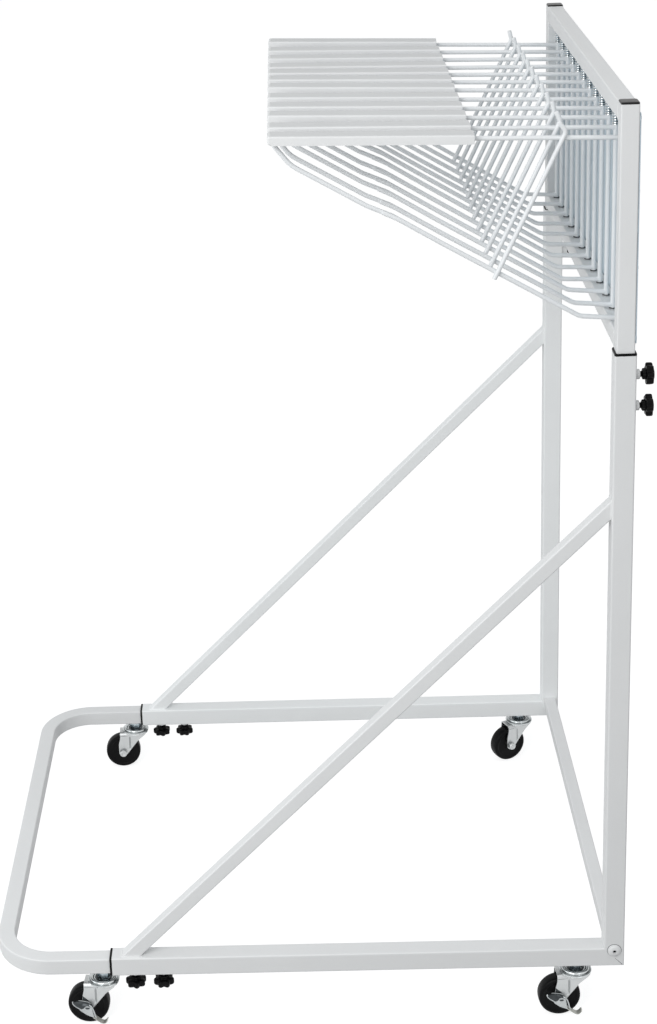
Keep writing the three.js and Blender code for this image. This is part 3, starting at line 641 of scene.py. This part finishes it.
def sleeve_mesh():
    """Long flat sleeve over the top wire: an open-bottomed channel with a rounded, closed front end."""
    shape = Shape()
    half = 17
    skin = 1.5
    lift = Matrix.Translation((0, 0, ARM_HEIGHT)) @ Matrix.Rotation(ARM_TILT, 4, "Y")
    joint = SLEEVE_FRONT - 6

    def channel(s, shrink=0.0):
        r = 2.2
        outer = [(half - shrink, -SLEEVE_DOWN + shrink)]
        for k in range(5):
            angle = math.radians(90 * k / 4)
            outer.append((half - shrink - r + r * math.cos(angle), SLEEVE_UP - shrink - r + r * math.sin(angle)))
        outer += [(-a, b) for a, b in reversed(outer)]
        inner = [(-half + skin, -SLEEVE_DOWN + shrink), (-half + skin, SLEEVE_UP - skin),
                 (half - skin, SLEEVE_UP - skin), (half - skin, -SLEEVE_DOWN + shrink)]
        return [lift @ Vector((-s, a, b)) for a, b in outer + inner]

    shape.loft([channel(SLEEVE_BACK, 0.35), channel(SLEEVE_BACK + 0.4), channel(joint)])
    rings = []
    for k in range(8):
        angle = math.radians(90 * k / 7)
        s = joint + 6 * math.sin(angle)
        low = -SLEEVE_DOWN + 5.5 * (1 - math.cos(angle))
        past = max(0, s - (SLEEVE_FRONT - 2.5))
        trim = 2.5 - math.sqrt(max(0, 2.5 ** 2 - past ** 2))
        high = SLEEVE_UP - trim
        section = rounded_rect(2 * (half - trim), high - low, 2.0, 4, (0, (high + low) / 2))
        rings.append([lift @ Vector((-s, a, b)) for a, b in section])
    shape.loft(rings)
    saddle = [[lift @ Vector((-s, a, b)) for a, b in ((-2, 1), (2, 1), (2, SLEEVE_UP - 1.2), (-2, SLEEVE_UP - 1.2))]
              for s in (SLEEVE_BACK + 40, SLEEVE_BACK + 200)]
    shape.loft(saddle)
    return shape.mesh("arm_sleeve", SLEEVE_COAT)


def shade_strip_mesh():
    """Grey strip let into the top of a sleeve, standing a hair proud: painted shade, the top drawn darker than the
    sides.
    """
    shape = Shape()
    lift = Matrix.Translation((0, 0, ARM_HEIGHT)) @ Matrix.Rotation(ARM_TILT, 4, "Y")
    rings = []
    for s, inset in ((SLEEVE_BACK + 0.8, 0.4), (SLEEVE_BACK + 1.2, 0), (SLEEVE_FRONT - 4.4, 0), (SLEEVE_FRONT - 4, 0.4)):
        section = rounded_rect(2 * (14.7 - inset), 0.5, 0.12, 2, (0, SLEEVE_UP - 0.13))
        rings.append([lift @ Vector((-s, a, b)) for a, b in section])
    shape.loft(rings)
    return shape.mesh("top_shade_strip", SHADE_STRIP_COAT)


def spring_mesh(foot, head):
    """Compression spring on a pivot rod, its first and last turns closed."""
    shape = Shape()
    r, coil, turns, steps = 0.92, 4.7, 8, 22
    stations = []
    count = turns * steps
    closed = steps
    for k in range(count + 1):
        u = min(max((k - closed / 2) / (count - closed), 0), 1)
        z = foot + r + 0.8 * r * k / count + (head - foot - 2.8 * r) * u
        angle = math.pi + 2 * math.pi * k / steps
        out = Vector((math.cos(angle), math.sin(angle), 0))
        stations.append((out * coil + Z_AXIS * z, out))
    rings = []
    for centre, out in stations:
        rings.append([centre + out * a + Z_AXIS * b for a, b in circle(r, 9)])
    shape.loft(rings)
    return shape.mesh("pivot_spring", SPRING_STEEL)


def shade_core_mesh(foot, head):
    """The pivot rod's end inside the spring, in darker zinc: painted shade in the gaps between the turns."""
    shape = Shape()
    r = WIRE_R + 0.3
    shape.lathe([(0, foot), (r - 0.3, foot), (r, foot + 0.4), (r, head - 0.4), (r - 0.3, head), (0, head)], sides=20)
    return shape.mesh("pivot_shade_core", SHADED_BLUE_ZINC)


def shade_washer_mesh():
    """Thin washer on which an arm turns, drawn dark: painted shadow under the lower wire's end."""
    shape = Shape()
    shape.lathe([(3.5, -4.9), (4.9, -4.9), (5.2, -4.7), (5.2, -4), (4.9, -3.8), (3.5, -3.8)], sides=28, closed=True)
    return shape.mesh("pivot_shade_washer", SHADE_ZINC)


def arms():
    wires = [arm_mesh(*form) for form in ARM_FORMS]
    sleeve = sleeve_mesh()
    strip = shade_strip_mesh()
    foot, head = ARM_HEIGHT + 3.9, TOP_Z - INNER - ARM_LOW_Z - 0.3
    coil = spring_mesh(foot, head)
    core = shade_core_mesh(foot + 0.2, head - 0.2)
    washer = shade_washer_mesh()
    for i, swing in enumerate(ARM_SWING):
        number = f"{i + 1:02d}"
        body = f"arm_{number}"
        spot = Vector((AXIS_X, (i - 5.5) * ARM_PITCH, ARM_LOW_Z)) * MM
        place = Matrix.Translation(spot) @ Matrix.Rotation(-math.radians(swing), 4, "Z")
        place_mesh(wires[min(i, 3)], f"hanging_wire_{number}", body, [f"arm_{number}"], place)
        place_mesh(sleeve, f"hanging_sleeve_{number}", body, (), place)
        place_mesh(strip, f"top_shade_strip_{number}", body, (), place)
        place_mesh(coil, f"pivot_spring_{number}", body, [f"spring_{number}"], place)
        place_mesh(core, f"pivot_shade_core_{number}", body, (), place)
        place_mesh(washer, f"pivot_shade_washer_{number}", body, (), place)


# Casters

def race_shape(tube_z):
    """Raceway cup at the swivel axis: rolled rim, two rounded steps, king pin below and a washer under the tube."""
    shape = Shape()
    top = FORK_TOP_Z
    shape.lathe([(0, top - 5.5), (6.5, top - 5.5), (8, top - 4.6), (8, top - 2.9), (5, top - 2.8), (5, top + 0.4),
                 (17, top + 0.4), (22.4, top + 0.5), (23.5, top + 0.9), (24, top + 1.8), (23.8, top + 2.7), (23, top + 3.3),
                 (22, top + 3.4), (21, top + 2.9), (20.4, top + 3.4), (20.6, top + 4.6), (20.4, top + 5.7), (19.6, top + 6.6),
                 (18.6, top + 7), (17.5, top + 6.9), (16.6, top + 6.2), (16.1, top + 5), (15.6, top + 4.4), (14.6, top + 4.8),
                 (13.9, top + 5.2), (13.2, top + 4.9), (12.8, top + 3.6), (0, top + 3.6)], sides=72)
    washer = [(6, tube_z - 2.4), (8.8, tube_z - 2.4), (9.3, tube_z - 2), (9.3, tube_z - 0.8), (8.8, tube_z - 0.4),
              (6, tube_z - 0.4)]
    shape.lathe(washer, sides=40)
    return shape


def groove_shade_shape():
    """Dark rings in the grooves between the rings of a raceway: painted shade and painted reflection."""
    shape = Shape()
    top = FORK_TOP_Z
    for inner, outer, z in ((20.3, 22.1, top + 3.15), (14.7, 16.4, top + 4.75), (9, 12.9, top + 3.9)):
        shape.lathe([(inner, z - 0.3), (outer, z - 0.3), (outer, z), (inner, z)], sides=72, closed=True)
    return shape


def stem_shape(tube_z):
    """Hexagon and stem of a caster, between the raceway and the tube."""
    shape = Shape()
    top = FORK_TOP_Z
    rings = []
    for grow, z in ((0.93, top + 3.5), (1, top + 4.3), (1, tube_z - 3.2), (0.93, tube_z - 2.4)):
        rings.append([Vector((9.6 * grow * math.cos(math.pi * j / 3 + 0.3), 9.6 * grow * math.sin(math.pi * j / 3 + 0.3), z))
                      for j in range(6)])
    shape.loft(rings)
    shape.lathe([(5, tube_z - 1), (5, tube_z + 19), (4, tube_z + 20), (0, tube_z + 20)], sides=24)
    return shape


def fork_edges(y, z):
    """Rear and front edge of the fork's sheet at a place across it and a height."""
    boss, shoulder, lip = 7.8, 29.2, 23
    bottom = -0.62
    touch = Vector((-TRAIL + boss * math.cos(bottom), WHEEL_R + boss * math.sin(bottom)))
    knee = Vector((4.5, FORK_TOP_Z - 15))
    corner = Vector((19.3, FORK_TOP_Z - 3))
    chord = math.sqrt(max(0, boss ** 2 - (WHEEL_R - z) ** 2))
    drawn_in = min(max((z - 45) / 18, 0), 1)
    drawn_in = drawn_in ** 2 * (3 - 2 * drawn_in)
    rear = -TRAIL - chord if z < WHEEL_R else -TRAIL - boss
    rear += (-shoulder - rear) * drawn_in
    if z < touch.y:
        front = -TRAIL + chord
    elif z < knee.y:
        front = touch.x + (knee.x - touch.x) * (z - touch.y) / (knee.y - touch.y)
    elif z < corner.y:
        front = knee.x + (corner.x - knee.x) * (z - knee.y) / (corner.y - knee.y)
    else:
        front = math.sqrt(lip ** 2 - y ** 2)
    return rear, front


def fork_shape():
    """Fork pressed from one sheet: two legs, the bends over their tops and the plate between, a crease in each leg."""
    shape = Shape()
    half, bend, sheet = 12.5, 4.5, 1.0
    crease_x, crease_half, crease_deep = -11.5, 1.6, 2
    top = FORK_TOP_Z - sheet
    foot = WHEEL_R - 7.8
    path = [(-half, foot + 7.8 * (1 - math.cos(math.pi / 2 * k / 8))) for k in range(9)]
    path += [(-half, WHEEL_R + (top - bend - WHEEL_R) * k / 16) for k in range(1, 17)]
    for k in range(1, 8):
        angle = math.radians(90 * k / 7)
        path.append((-half + bend * (1 - math.cos(angle)), top - bend + bend * math.sin(angle)))
    path.append((-half / 3, top))
    path += [(-y, z) for y, z in reversed(path)]
    rings = []
    for i, (y, z) in enumerate(path):
        rear, front = fork_edges(y, z)
        y0, z0 = path[max(i - 1, 0)]
        y1, z1 = path[min(i + 1, len(path) - 1)]
        normal = Vector((0, -(z1 - z0), y1 - y0)).normalized()
        depth = crease_deep * min(max((z - 36) / 4, 0), 1) * min(max((64 - z) / 3, 0), 1)
        line = min(max(crease_x, rear + 4), front - 2.2)
        columns = [(rear + (line - crease_half - rear) * j / 10, 0) for j in range(11)]
        columns += [(line - 0.6 * crease_half, 0.6), (line, 1), (line + 0.6 * crease_half, 0.6)]
        columns += [(line + crease_half + (front - line - crease_half) * j / 12, 0) for j in range(13)]
        outer, inner = [], []
        for x, fold in columns:
            centre = Vector((x, y, z)) - normal * depth * fold
            outer.append(centre + normal * sheet)
            inner.append(centre - normal * sheet)
        rings.append(outer + inner[::-1])
    shape.loft(rings)
    # Lower race, raised round the king pin.
    race = FORK_TOP_Z
    shape.lathe([(6, race - 1.5), (22.2, race - 1.5), (22.6, race - 0.8), (22.2, race + 0.1), (6, race + 0.1)],
                sides=56, closed=True)
    axle(shape)
    return shape


def axle(shape):
    """Axle rivet through both legs, domed on the far side and with a round head on the near side."""
    place = Matrix.Translation((-TRAIL, 0, WHEEL_R)) @ Matrix.Rotation(-math.pi / 2, 4, "X")
    shape.lathe([(0, -19.6), (2.2, -19.6), (2.6, -19.2), (3.4, -20), (5.6, -19.6), (6.4, -18.6), (6.4, -17.1), (4, -17),
                 (4, 13.6), (6.6, 13.6), (6.6, 14.8), (5.4, 16.6), (3.4, 17.4), (2.4, 16.6), (1.6, 16.2), (0, 16.2)], place, 36)


def wheel_shape():
    """Solid moulded wheel: crowned tread, rounded shoulders, dished sides and a hub boss."""
    shape = Shape()
    half = [(4.3, 10.9), (9.6, 10.9), (10.6, 10.5), (11.2, 9.4), (12.4, 8.7), (22.6, 8.5), (24.2, 8.9), (25.2, 9.7),
            (26.4, 10), (28.6, 9.8), (30, 9), (30.9, 7.6), (31.3, 5), (31.5, 2)]
    profile = half + [(r, -y) for r, y in reversed(half)]
    place = Matrix.Translation((-TRAIL, 0, WHEEL_R)) @ Matrix.Rotation(-math.pi / 2, 4, "X")
    shape.lathe(profile, place, 88, closed=True)
    return shape


def smooth_path(points, samples):
    """Points along a smooth curve through the given ones."""
    out = []
    for k in range(samples + 1):
        u = k / samples * (len(points) - 1)
        i = min(int(u), len(points) - 2)
        t = u - i
        a, b, c, d = (Vector(points[min(max(j, 0), len(points) - 1)]) for j in range(i - 1, i + 3))
        out.append(0.5 * (2 * b + (c - a) * t + (2 * a - 5 * b + 4 * c - d) * t * t + (3 * b - a - 3 * c + d) * t ** 3))
    return out


def on_axle(u, y, w):
    """A point beside the axle: u ahead of it, y across and w above."""
    return Vector((u - TRAIL, y, w + WHEEL_R))


def pressed(shape, high, low, skin, sag=0.0, steps=36):
    """A pressed sheet between two edge curves, each through points (u, y, w), hollowed by sag along its middle."""
    upper, lower = smooth_path(high, steps), smooth_path(low, steps)
    rings = []
    for k, (a, b) in enumerate(zip(upper, lower)):
        along = (upper[min(k + 1, steps)] - upper[max(k - 1, 0)]) + (lower[min(k + 1, steps)] - lower[max(k - 1, 0)])
        normal = along.cross(b - a).normalized()
        front, back = [], []
        for j in range(7):
            t = j / 6
            spot = a.lerp(b, t) + normal * sag * 4 * t * (1 - t)
            front.append(on_axle(*(spot + normal * skin)))
            back.append(on_axle(*(spot - normal * skin)))
        rings.append(front + back[::-1])
    shape.loft(rings)


def rolled_edge(shape, points, r):
    """A round bead along points (u, y, w), as a sheet's rolled edge."""
    path = smooth_path(points, 30)
    rings = []
    for k, spot in enumerate(path):
        ahead = (path[min(k + 1, 30)] - path[max(k - 1, 0)]).normalized()
        side = Y_AXIS.cross(ahead).normalized()
        up = ahead.cross(side)
        slim = r * min(1, 0.45 + 0.2 * min(k, 30 - k))
        rings.append([on_axle(*(spot + side * a * slim + up * b * slim)) for a, b in circle(1, 8)])
    shape.loft(rings)


def brake_flank():
    """Bright faces of the pedal: the flank below the axle, its rolled edges, the arch and a rivet."""
    shape = Shape()
    pressed(shape,
            [(-11, -21.6, 2), (-8, -21, 1), (-4.2, -20.4, 2.2), (0, -20, 4.6), (3.5, -19.8, 5.2), (6.4, -19.8, 2.6),
             (7.6, -19.8, -2), (8.6, -19.8, -7), (9.6, -19.8, -11.5)],
            [(-12, -21.8, 0.4), (-9.5, -21.2, -2.8), (-6, -20.4, -6.2), (-2.5, -20.2, -9), (0.5, -20, -10.8),
             (3.5, -20, -12.2), (6, -20, -13.2), (8, -20, -14.2), (10, -20, -15.2)], 0.45, -0.5)
    rolled_edge(shape, [(-21.4, -20.8, 13.4), (-21, -22, 10), (-17.2, -22.6, 6.2), (-12, -22.6, 2.6), (-7.6, -21.8, -0.4)], 0.8)
    rolled_edge(shape, [(3, -19.4, 6.8), (6.8, -21, 5), (9.2, -22, 0.4), (10.8, -22.2, -5.2), (12, -22.2, -10.8),
                        (13.6, -22.4, -15)], 1)
    rolled_edge(shape, [(-5, -20.8, 1), (-2.6, -20.8, 4.4), (0.6, -20.8, 5.4), (4.6, -20.8, 3)], 0.6)
    rolled_edge(shape, [(-14, -15.4, 11.4), (-7, -15.4, 10.8), (0, -15.4, 9.2), (5, -16, 6.4)], 0.6)
    rivet = Matrix.Translation(on_axle(-15.4, -19.4, 7.2)) @ Matrix.Rotation(math.pi / 2, 4, "X")
    shape.lathe([(0, -1), (2, -1), (2, 0.3), (1.4, 1), (0, 1.3)], rivet, 16)
    return shape


def shaded_brake_dish():
    """Hollow of the pedal over the axle, the recess below its arch and the plate behind both, all drawn dark: painted
    shade.
    """
    shape = Shape()
    pressed(shape,
            [(-21, -19.5, 12.8), (-17, -17, 12), (-12, -15.8, 11), (-6, -15.2, 10), (0, -15.2, 8.4), (4.4, -15.4, 6)],
            [(-21.4, -21, 11.6), (-19.6, -22.2, 8.2), (-14.6, -22.4, 4.2), (-9.6, -21.6, 1.6), (-2, -20.4, 3.6), (4.2, -19.8, 5.2)],
            0.4, -1.4)
    # A dark spot under the arch: painted shade.
    lens = Matrix.Translation(on_axle(0.2, -20.5, 1.6)) @ Matrix.Diagonal((3.7, 0.9, 1.7, 1))
    profile = [(math.sin(math.pi * k / 8), -math.cos(math.pi * k / 8)) for k in range(9)]
    shape.lathe(profile, lens, 16)
    hub = Matrix.Translation(on_axle(0, 0, 0)) @ Matrix.Rotation(math.pi / 2, 4, "X")
    shape.lathe([(4.4, 14), (7, 14), (7.4, 14.4), (7.4, 19), (7, 19.4), (4.4, 19.4)], hub, 28)
    return shape


def brake_toe():
    """The pedal's toe: a strip that drops from the flank, runs out level and turns up at its end."""
    shape = Shape()
    strip = smooth_path([(9.4, -12.6), (12, -14.2), (17, -18.2), (21.4, -21), (24.5, -21.8), (27.6, -20.2), (29.6, -17.4),
                         (30.2, -15.4)], 32)
    rings = []
    for k, point in enumerate(strip):
        ahead = (strip[min(k + 1, 32)] - strip[max(k - 1, 0)]).normalized()
        up = Vector((-ahead.y, ahead.x)) * 0.7
        inset = 0.7 * max(0, k - 28)
        near, far = -24.6 + inset, -15.4 - inset * 0.5
        ring = []
        for y, lift in ((far, -1), (near + 0.6, -1), (near, -0.4), (near, 0.4), (near + 0.6, 1), (far, 1)):
            spot = point + up * lift
            ring.append(on_axle(spot.x, y, spot.y))
        rings.append(ring)
    shape.loft(rings)
    return shape


def fork_shade_marks(pedal_shadow):
    """Painted shade: a dark line along the fold at the top of the near leg and, above a pedal, a dark three-cornered
    patch of painted shadow.
    """
    shape = Shape()
    outlines = [((-4.6, 33.4), (-4.6, 32.9), (4, 33.1), (12, 33.5), (4, 33.7))]
    if pedal_shadow:
        outlines.append(((-7.4, 18.6), (-7.4, 9.4), (2.6, 9.8)))
    for corners in outlines:
        shape.loft([[on_axle(u, y, w) for u, w in corners] for y in (-13.56, -13.2)])
    return shape


def casters():
    for where, x, y, tube_z, turn in CASTERS:
        stand = Matrix.Translation((x, y, 0))
        turned = stand @ Matrix.Rotation(math.radians(turn), 4, "Z")
        carrier = "front" if where.startswith("front") else "frame"
        stem = f"caster_stem_{where}"
        race_shape(tube_z).move(stand).piece(f"raceway_{where}", RACE_ZINC, carrier, "zinc", [stem])
        groove_shade_shape().move(stand).piece(f"race_groove_shade_{where}", SHADE_ZINC, carrier, "zinc")
        stem_shape(tube_z).move(stand).piece(f"stem_nut_{where}", SHADED_BLUE_ZINC, carrier, "zinc")
        fork, wheel, brake = f"fork_{where}", f"wheel_{where}", f"brake_{where}"
        fork_shape().move(turned).piece(fork, ZINC, fork, "zinc", [f"caster_{fork}"])
        wheel_shape().move(turned).piece(wheel, TYRE, wheel, "tyre", [f"caster_{wheel}"])
        braked = where.endswith("near")
        fork_shade_marks(braked).move(turned).piece(f"fork_shade_marks_{where}", SHADE_ZINC, fork, "zinc")
        if braked:
            flank = brake_flank().move(turned)
            flank.piece(f"pedal_flank_{where}", PEDAL_ZINC, brake, "zinc", [f"brake_pedal_{where}"])
            shaded_brake_dish().move(turned).piece(f"pedal_dish_shade_{where}", SHADE_ZINC, brake, "zinc")
            brake_toe().move(turned).piece(f"pedal_toe_{where}", TOE_ZINC, brake, "zinc")


# Floor, light and camera

def seen_directly(tree):
    """1 for rays from the camera, mirrors and glass, 0 for the light that falls on the rack."""
    path = add(tree, "ShaderNodeLightPath")
    mirror = add(tree, "ShaderNodeMath", {"operation": "MAXIMUM"},
                 {0: path.outputs["Is Camera Ray"], 1: path.outputs["Is Glossy Ray"]})
    clear = add(tree, "ShaderNodeMath", {"operation": "MAXIMUM"},
                {0: mirror.outputs[0], 1: path.outputs["Is Transmission Ray"]})
    return clear.outputs[0]


def pale_floor():
    data = bpy.data.meshes.new("floor")
    far = 30
    data.from_pydata([(-far, -far, 0), (far, -far, 0), (far, far, 0), (-far, far, 0)], [], [(0, 1, 2, 3)])
    floor = bpy.data.objects.new("floor", data)
    bpy.context.scene.collection.objects.link(floor)
    material = bpy.data.materials.new("white_studio_floor")
    material.use_nodes = True
    tree = material.node_tree
    tree.nodes.remove(tree.nodes["Principled BSDF"])
    paint = add(tree, "ShaderNodeBsdfDiffuse", {}, {"Color": linear("#a4a4a4")})
    lift = add(tree, "ShaderNodeMath", {"operation": "MULTIPLY"}, {0: seen_directly(tree), 1: FLOOR_LIFT})
    glow = add(tree, "ShaderNodeEmission", {}, {"Color": linear("#ffffff"), "Strength": lift.outputs[0]})
    both = add(tree, "ShaderNodeAddShader", {}, {0: paint.outputs[0], 1: glow.outputs[0]})
    tree.links.new(both.outputs[0], tree.nodes["Material Output"].inputs["Surface"])
    data.materials.append(material)


def studio_world():
    world = bpy.data.worlds.new("studio")
    bpy.context.scene.world = world
    world.use_nodes = True
    tree = world.node_tree
    level = add(tree, "ShaderNodeMapRange", {}, {"Value": seen_directly(tree), "To Min": WORLD_LIGHT, "To Max": 1.0})
    back = tree.nodes["Background"]
    tint = add(tree, "ShaderNodeMix", {"data_type": "RGBA"},
               {"Factor": seen_directly(tree), 6: linear("#f3f5f7"), 7: linear("#ffffff")})
    tree.links.new(tint.outputs[2], back.inputs["Color"])
    tree.links.new(level.outputs["Result"], back.inputs["Strength"])


def softbox(name, at_point, towards, size, power, colour="#ffffff"):
    data = bpy.data.lights.new(name, "AREA")
    data.shape = "SQUARE"
    data.size = size
    data.energy = power
    data.color = linear(colour)[:3]
    lamp = bpy.data.objects.new(name, data)
    lamp.location = at_point
    lamp.rotation_mode = "QUATERNION"
    lamp.rotation_quaternion = (Vector(towards) - Vector(at_point)).to_track_quat("-Z", "Y")
    bpy.context.scene.collection.objects.link(lamp)


def camera():
    """The photograph's viewpoint: a long lens a little above the arms, leaning slightly, shifted up and left."""
    f, yaw, pitch, roll = 2065.037, -0.034601, 0.310105, 0.041988
    spot = Vector((-0.137, -3018.675, 1976.158))
    ahead = Vector((math.sin(yaw) * math.cos(pitch), math.cos(yaw) * math.cos(pitch), -math.sin(pitch)))
    level = Vector((math.cos(yaw), -math.sin(yaw), 0))
    drop = ahead.cross(level)
    right = level * math.cos(roll) + drop * math.sin(roll)
    down = -level * math.sin(roll) + drop * math.cos(roll)
    data = bpy.data.cameras.new("camera")
    data.sensor_width = 36
    data.lens = f * 36 / 1024
    data.shift_x, data.shift_y = 0.099, -0.2015
    made = bpy.data.objects.new("camera", data)
    turn = Matrix((right, -down, -ahead)).transposed().to_4x4()
    made.matrix_world = Matrix.Translation(spot * MM) @ turn
    bpy.context.scene.collection.objects.link(made)
    bpy.context.scene.camera = made


WORLD_LIGHT = 0.61
FLOOR_LIFT = 0.8

for side, y in SIDES:
    side_frame(side, y)
    cap(side, y)
    cross_bolt(side, y)
    post_end = Matrix.Translation((AXIS_X, y, POST_TOP_Z))
    collar(f"mast_collar_{side}", post_end, f"post_collar_{side}", POST_RIM[side])
    base_end = Matrix.Translation((REAR_X - BASE_LENGTH, y, BASE_Z + OUTER / 2)) @ Matrix.Rotation(-math.pi / 2, 4, "Y")
    collar(f"foot_collar_{side}", base_end, f"base_collar_{side}")
upper_frame()
back_panel()
front_tube()
cross_tube()
knobs()
arms()
casters()
pale_floor()
studio_world()
softbox("key", (-1.2, -2.4, 2.1), (0, 0, 0.7), 1.7, 42)
softbox("left", (-3, -0.6, 1), (0, 0, 0.7), 2.0, 17, "#f1f6f8")
softbox("high", (1.6, -1.5, 3.6), (0.2, -0.2, 0.5), 0.9, 9)
camera()

scene = bpy.context.scene
scene.view_settings.view_transform = "Standard"
